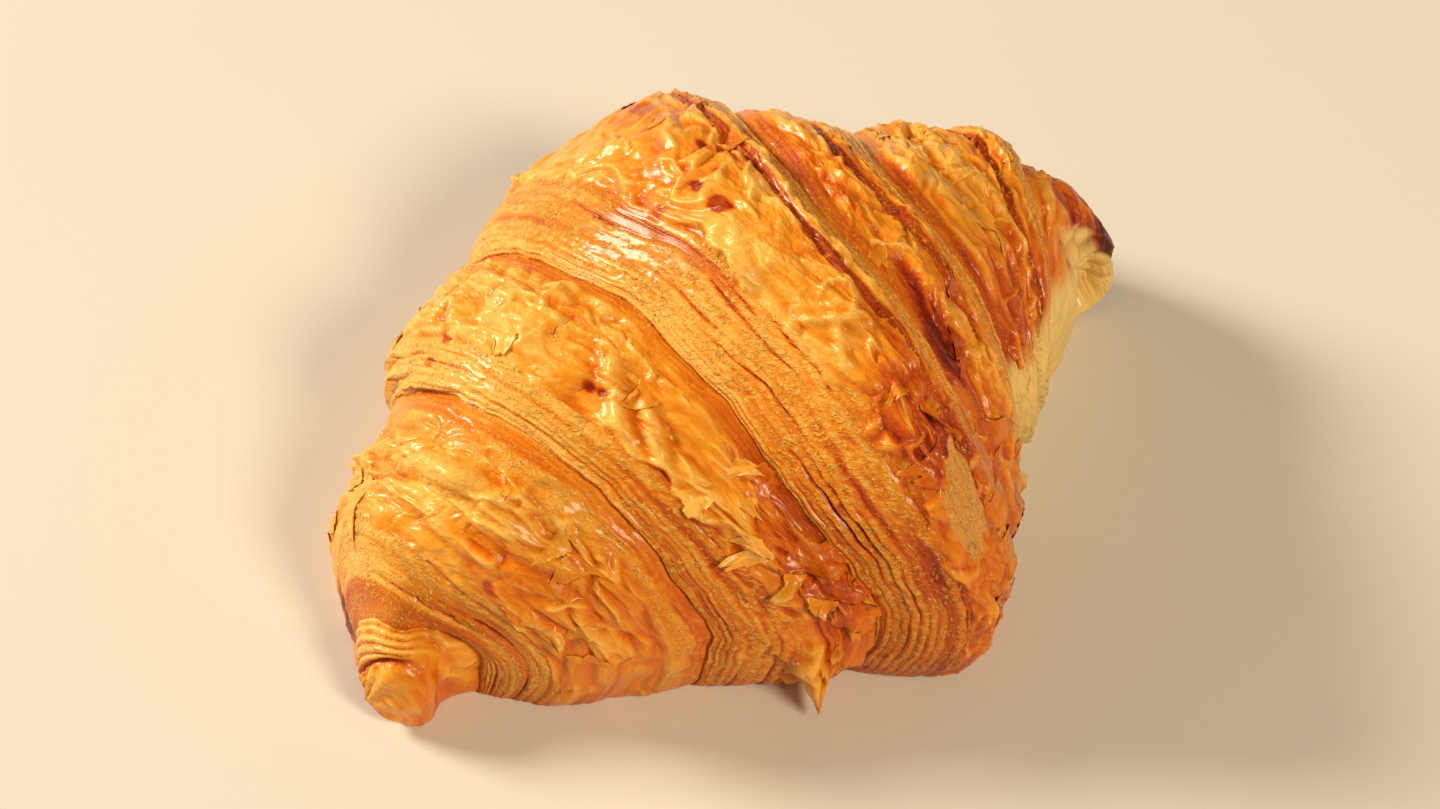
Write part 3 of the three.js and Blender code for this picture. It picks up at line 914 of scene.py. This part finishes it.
def browning(s):
    """0 for bare cream dough, 1 for almost burnt crust; painted shade in hollows, creases and on the
    low front, and painted highlights on ridges and the lit upper left, are mixed in.
    """
    turn = s.degrees
    broad = noise(anisotropic(s, 22, 30), 31)
    patch = noise(anisotropic(s, 6, 9), 32)
    streak = noise(anisotropic(s, 1.6, 22), 35)
    right = ramp(12, 16, s.x)
    # Skin beside a crease is darker, partly its redder crust and partly painted shade; fold crests are
    # paler, partly the thin glaze and partly a painted highlight.
    skin = 0.42 + 0.11 * broad + 0.10 * patch + 0.05 * s.small + 0.13 * s.near_crease - 0.10 * s.fold
    skin = skin - 0.04 * ramp(-6, -20, s.x) + right * (0.03 + 0.16 * streak) + 0.10 * (s.film - 0.55)
    # The first patch's paleness is partly painted light, the last one's browning partly painted shade.
    for *where, change in PATCHES:
        skin = skin + change * spread(s, *where)
    skin = skin + 0.14 * ramp(0, 0.4, spread(s, *RED_PATCH, rough=0.3))
    # Painted shade, partly redder crust: the skin darkens as it turns down to the front, most on the
    # right wrap and beside creases there.
    skin = skin + 0.10 * ramp(15, 80, turn) + 0.13 * ramp(28, 36, s.x) * ramp(15, 45, turn)
    skin = skin + 0.07 * s.near_crease * ramp(10, 50, turn)
    band = 0.24 + 0.24 * s.tone + 0.08 * broad + 0.05 * patch + 0.40 * s.groove
    # Painted shade, partly redder crust: the bands darken as they turn down to the front.
    band = band + 0.12 * ramp(10, 60, turn) - 0.07 * s.on_band(NUB_LIP)
    band = band - 0.10 * s.on_band(LEFT_LIP) * ramp(40, 5, turn)
    # Painted light: the upper part of the left wraps, which faces the key light, is paler, the skin a
    # little and the bands more.
    painted_left_light = ramp(-8, -20, s.x) * ramp(45, -10, turn)
    skin, band = skin - 0.06 * painted_left_light, band - 0.10 * painted_left_light
    band = np.where((s.kind == BAND)[:, None], band, 0.34 + 0.08 * broad + 0.10 * streak)
    # Painted shade: the band is darker where it tucks deep into its crease under the lip.
    band = band - 0.16 * s.edge_roll * ramp(60, 10, turn) + 0.12 * s.tucked
    # Painted shade in the hollows and painted highlight on the ridges, from s.hollow.
    tone = mix(skin, band, s.layered) + 0.30 * s.hollow + s.nub_tone
    # Blister tops are paler, partly the thin lifted glaze and partly a painted highlight; skin near a
    # crease is darker, partly painted shade.
    tone = tone - 0.06 * s.film_edge - 0.09 * s.blister + 0.05 * s.near_crease
    tone = mix(tone, 0.50 + 0.10 * patch + 0.10 * streak, 0.9 * s.ring)
    tone = mix(tone, 0.64 + 0.1 * patch, s.fringe)
    tone = mix(tone, 0.40, s.peeled)
    tone = tone + 0.12 * ramp(-59, -62, s.x) * ramp(-25, -55, turn)
    cap = ramp(60, 63, s.x) * (0.27 + 0.10 * s.medium)
    tone = tone + cap + 0.35 * ramp(67, 69, s.x)
    for x, angle, length, width, strength in SPOTS:
        u = (s.turn - math.radians(angle)) * s.radius / length
        v = (s.x - x) / width
        d = u * u + v * v + 0.6 * s.small + 0.5 * patch
        tone = tone + strength * 0.46 * ramp(1.7, 0.4, d)
    # Painted shade, partly redder crust: darker within 9 mm of the floor.
    return np.clip(tone + 0.10 * ramp(9, 0, s.points[..., 2]), 0, 1)


def paleness(s):
    """1 where the dough stayed unbrowned: the right flank and the torn right end."""
    turn = s.turn + 0.06 * s.medium + 0.03 * s.small
    x = s.x + 0.9 * s.medium + 0.5 * s.small
    flank = ramp(24, 34, x) * turn_ramp(60, 70, turn) * (1 - turn_ramp(118, 130, turn))
    end = ramp(58.5, 59.5, x) * turn_ramp(44, 48, turn) * (1 - ramp(66.5, 67.5, x))
    end = end * (0.55 + 0.45 * s.terrace)
    return np.clip(np.maximum(np.maximum(flank, end), 0.32 * s.peeled), 0, 1)


def srgb(code):
    """Linear colour from a #rrggbb code."""
    values = [int(code[i:i + 2], 16) / 255 for i in (1, 3, 5)]
    return [v / 12.92 if v <= 0.04045 else ((v + 0.055) / 1.055) ** 2.4 for v in values] + [1.0]


BARE_DOUGH, FLOOR_COLOUR = "#eac678", "#ded7cb"
CRUST_TONES = [
    (0.00, "#fad892"),
    (0.20, "#fbba54"),
    (0.38, "#ed9a26"),
    (0.52, "#df760e"),
    (0.66, "#c44e05"),
    (0.82, "#932206"),
    (1.00, "#560c06"),
]
PALEST_TONE = 0.20
FINE_RELIEF = 0.0004  # the height of the finest relief, which only the shader makes, in metres


class Shading:
    """Short ways to make the nodes of one material."""

    def __init__(self, name):
        self.material = bpy.data.materials.new(name)
        self.material.use_nodes = True
        self.nodes = self.material.node_tree.nodes
        self.links = self.material.node_tree.links
        self.shader = self.nodes["Principled BSDF"]

    def feed(self, value, socket):
        """Links another node's output to the socket, or sets its value."""
        if isinstance(value, bpy.types.NodeSocket):
            self.links.new(value, socket)
        else:
            socket.default_value = value

    def shade(self, **values):
        """Feeds the shader's own sockets; an underscore stands for a space."""
        for key, value in values.items():
            self.feed(value, self.shader.inputs[key.replace("_", " ")])

    def node(self, kind, **values):
        node = self.nodes.new("ShaderNode" + kind)
        for key, value in values.items():
            self.feed(value, node.inputs[key])
        return node

    def attribute(self, name, output="Fac"):
        node = self.node("Attribute")
        node.attribute_name = name
        return node.outputs[output]

    def operate(self, kind, operation, values):
        node = self.node(kind)
        node.operation = operation
        for value, socket in zip(values, node.inputs):
            self.feed(value, socket)
        return node.outputs[0]

    def math(self, operation, *values):
        return self.operate("Math", operation, values)

    def vector(self, operation, *values):
        return self.operate("VectorMath", operation, values)

    def add(self, *values):
        total = values[0]
        for value in values[1:]:
            total = self.math("ADD", total, value)
        return total

    def weighted(self, *pairs):
        """The sum of the products of the pairs."""
        return self.add(*[self.math("MULTIPLY", a, b) for a, b in pairs])

    def scaled(self, value, factor, middle=0.5):
        """The value's distance from its middle, times the factor."""
        return self.math("MULTIPLY", self.math("SUBTRACT", value, middle), factor)

    def noise(self, vector, scale, detail=2.0, distortion=0.0):
        vector = self.vector("MULTIPLY", vector, scale)
        return self.node("TexNoise", Vector=vector, Scale=1.0, Detail=detail,
                         Distortion=distortion).outputs["Fac"]

    def foil(self, vector, scale):
        """Crumpled foil: flat facets between sharp ridges and valleys."""
        squares = []
        for shift in (0.0, 7.3):
            moved = self.vector("ADD", self.vector("MULTIPLY", vector, scale), (shift,) * 3)
            distance = self.node("TexVoronoi", Vector=moved, Scale=1.0).outputs["Distance"]
            squares.append(self.math("POWER", distance, 2.0))
        return self.math("SUBTRACT", *squares)

    def ramp(self, value, tones):
        node = self.node("ValToRGB", Fac=value)
        elements = node.color_ramp.elements
        for position, _ in tones[1:-1]:
            elements.new(position)
        for element, (position, code) in zip(elements, tones):
            element.position = position
            element.color = srgb(code)
        return node.outputs["Color"]

    def mixed(self, factor, a, b):
        node = self.nodes.new("ShaderNodeMix")
        node.data_type = "RGBA"
        for key, value in (("Factor", factor), ("A", a), ("B", b)):
            self.feed(value, node.inputs[key])
        return node.outputs["Result"]


def crust_material():
    m = Shading("crust")
    grain = m.attribute("grain", "Vector")
    layered, pale, crinkle = m.attribute("layered"), m.attribute("pale"), m.attribute("crinkle")
    skin = m.math("SUBTRACT", 1.0, layered)
    lines = m.noise(grain, (2.4, 0.04, 0.04), 3)
    clusters = m.noise(grain, (0.7, 0.20, 0.20), 1)
    beads = m.math("MAXIMUM", m.scaled(m.noise(grain, (1.7, 1.4, 1.4), 2, 0.6), 1.0, 0.49), 0.0)
    beads = m.math("MULTIPLY", beads, m.add(m.scaled(clusters, 4.0), 1.0))
    film = m.noise(grain, (0.9, 0.16, 0.16), 4, 0.5)
    specks = m.noise(grain, (3.0, 3.0, 3.0), 3)
    creases = m.math("MULTIPLY", m.foil(grain, (0.7, 0.42, 0.42)), crinkle)
    facets = m.math("MULTIPLY", m.foil(grain, (1.8, 1.2, 1.2)), crinkle)

    # Raised beads on the bands are paler, partly the dough's grain and partly a painted highlight; on
    # the skin the raised side of the fine creases is paler, also partly a painted highlight.
    band_tone = m.add(m.scaled(lines, 0.22), m.scaled(beads, -1.5, 0.06), m.scaled(specks, -0.15))
    skin_tone = m.add(m.scaled(film, 0.25), m.scaled(specks, 0.10), m.scaled(creases, -0.08, 0.0))
    tone = m.add(m.attribute("tone"), m.weighted((layered, band_tone), (skin, skin_tone)))
    colour = m.ramp(m.math("MAXIMUM", tone, PALEST_TONE), CRUST_TONES)
    rough = m.add(m.weighted((layered, 0.16), (pale, 0.25)), m.scaled(film, 0.25),
                  m.scaled(specks, 0.20), 0.36)
    band_height = m.weighted((lines, 0.4), (beads, 3.0), (specks, 0.5))
    skin_height = m.weighted((film, 0.6), (specks, 0.10), (creases, 0.66), (facets, 0.22))
    height = m.weighted((layered, band_height), (skin, skin_height))
    bump = m.node("Bump", Height=height, Distance=FINE_RELIEF)

    m.shade(Base_Color=m.mixed(pale, colour, srgb(BARE_DOUGH)), Roughness=rough,
            Normal=bump.outputs["Normal"])
    m.shade(Subsurface_Weight=0.08, Subsurface_Radius=(1.0, 0.45, 0.2), Subsurface_Scale=0.0008,
            Coat_Weight=0.30, Coat_Roughness=0.17, IOR=1.40, Specular_Tint=(1.0, 0.80, 0.50, 1))
    return m.material


# ---- the piece ----
def make_croissant():
    """Makes both pieces; returns how far the form was moved to the middle, in millimetres."""
    s = build_surface()
    offset = centre_offset(s)
    poles = np.array([pole(LEFT_TIP_X), pole(RIGHT_TIP_X)])
    s.brown, s.pale = browning(s), paleness(s)
    crust = mesh_from_rows("crust", (s.final + offset) * MM, (poles + offset) * MM, {
        "tone": s.brown,
        "pale": s.pale,
        "layered": np.clip(s.layered + s.fringe + s.peeled, 0, 1),
        "grain": s.grain,
        "crinkle": s.crinkled * (1 - 0.8 * s.near_crease),
    })
    flakes = make_flakes(s, offset)
    material = crust_material()
    for piece in (crust, flakes):
        piece.data.materials.append(material)
        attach(piece, "root")
        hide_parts("croissant")
    return offset


# ---- stage, lights and camera ----
AZIMUTH, ELEVATION = -36.5, 51.0
DISTANCE = 0.511
LENS, SENSOR_WIDTH = 85.0, 36.0
IMAGE = (1440, 809)
TARGET_MM = (0.0, 0.0, 19.0)
TARGET_PIXEL = (722, 398)
FLOOR_HALF = 2.0

# Soft lights, in metres and watts; way is (right, away, up) as the camera sees the floor.
LIGHTS = [
    dict(name="key", way=(-0.90, 0.36, 0.56), distance=1.6, size=0.50, power=31.5,
         colour=(1.0, 0.91, 0.76)),
    dict(name="fill", way=(0.55, -0.6, 0.8), distance=1.4, size=0.40, power=13.0,
         colour=(1.0, 0.85, 0.62)),
]
SURROUND, SURROUND_STRENGTH = (1, 0.84, 0.62, 1), 0.17


def view_axes():
    """The camera's right, up and back."""
    a, e = math.radians(AZIMUTH), math.radians(ELEVATION)
    back = Vector((math.sin(a) * math.cos(e), -math.cos(a) * math.cos(e), math.sin(e)))
    right = Vector((math.cos(a), math.sin(a), 0))
    return right, back.cross(right), back


def aim(obj, position, target):
    obj.location = position
    obj.rotation_euler = (Vector(target) - Vector(position)).to_track_quat("-Z", "Y").to_euler()


def make_camera(target):
    data = bpy.data.cameras.new("camera")
    data.lens = LENS
    data.sensor_width = SENSOR_WIDTH
    data.shift_x = (IMAGE[0] / 2 - TARGET_PIXEL[0]) / IMAGE[0]
    data.shift_y = (TARGET_PIXEL[1] - IMAGE[1] / 2) / IMAGE[0]
    camera = put_in_scene("camera", data)
    aim(camera, target + view_axes()[2] * DISTANCE, target)
    bpy.context.scene.camera = camera


def make_light(target, name, way, distance, size, power, colour):
    right = view_axes()[0]
    away = Vector((-right.y, right.x, 0))
    data = bpy.data.lights.new(name, "AREA")
    data.shape = "DISK"
    data.size = size
    data.energy = power
    data.color = colour
    where = (right * way[0] + away * way[1] + Vector((0, 0, way[2]))).normalized()
    aim(put_in_scene(name, data), target + where * distance, target)


def make_surround():
    world = bpy.data.worlds.new("studio")
    world.use_nodes = True
    background = world.node_tree.nodes["Background"]
    background.inputs["Color"].default_value = SURROUND
    background.inputs["Strength"].default_value = SURROUND_STRENGTH
    bpy.context.scene.world = world


def make_floor():
    mesh = bpy.data.meshes.new("floor")
    corners = [(x * FLOOR_HALF, y * FLOOR_HALF, 0) for x, y in ((-1, -1), (1, -1), (1, 1), (-1, 1))]
    mesh.from_pydata(corners, [], [(0, 1, 2, 3)])
    shading = Shading("floor")
    shading.shade(Base_Color=srgb(FLOOR_COLOUR), Roughness=0.8)
    mesh.materials.append(shading.material)
    put_in_scene("floor", mesh)


offset_mm = make_croissant()
target = (Vector(TARGET_MM) + Vector(offset_mm)) * MM
make_floor()
make_camera(target)
for light in LIGHTS:
    make_light(target, **light)
make_surround()
bpy.context.scene.view_settings.view_transform = "Standard"
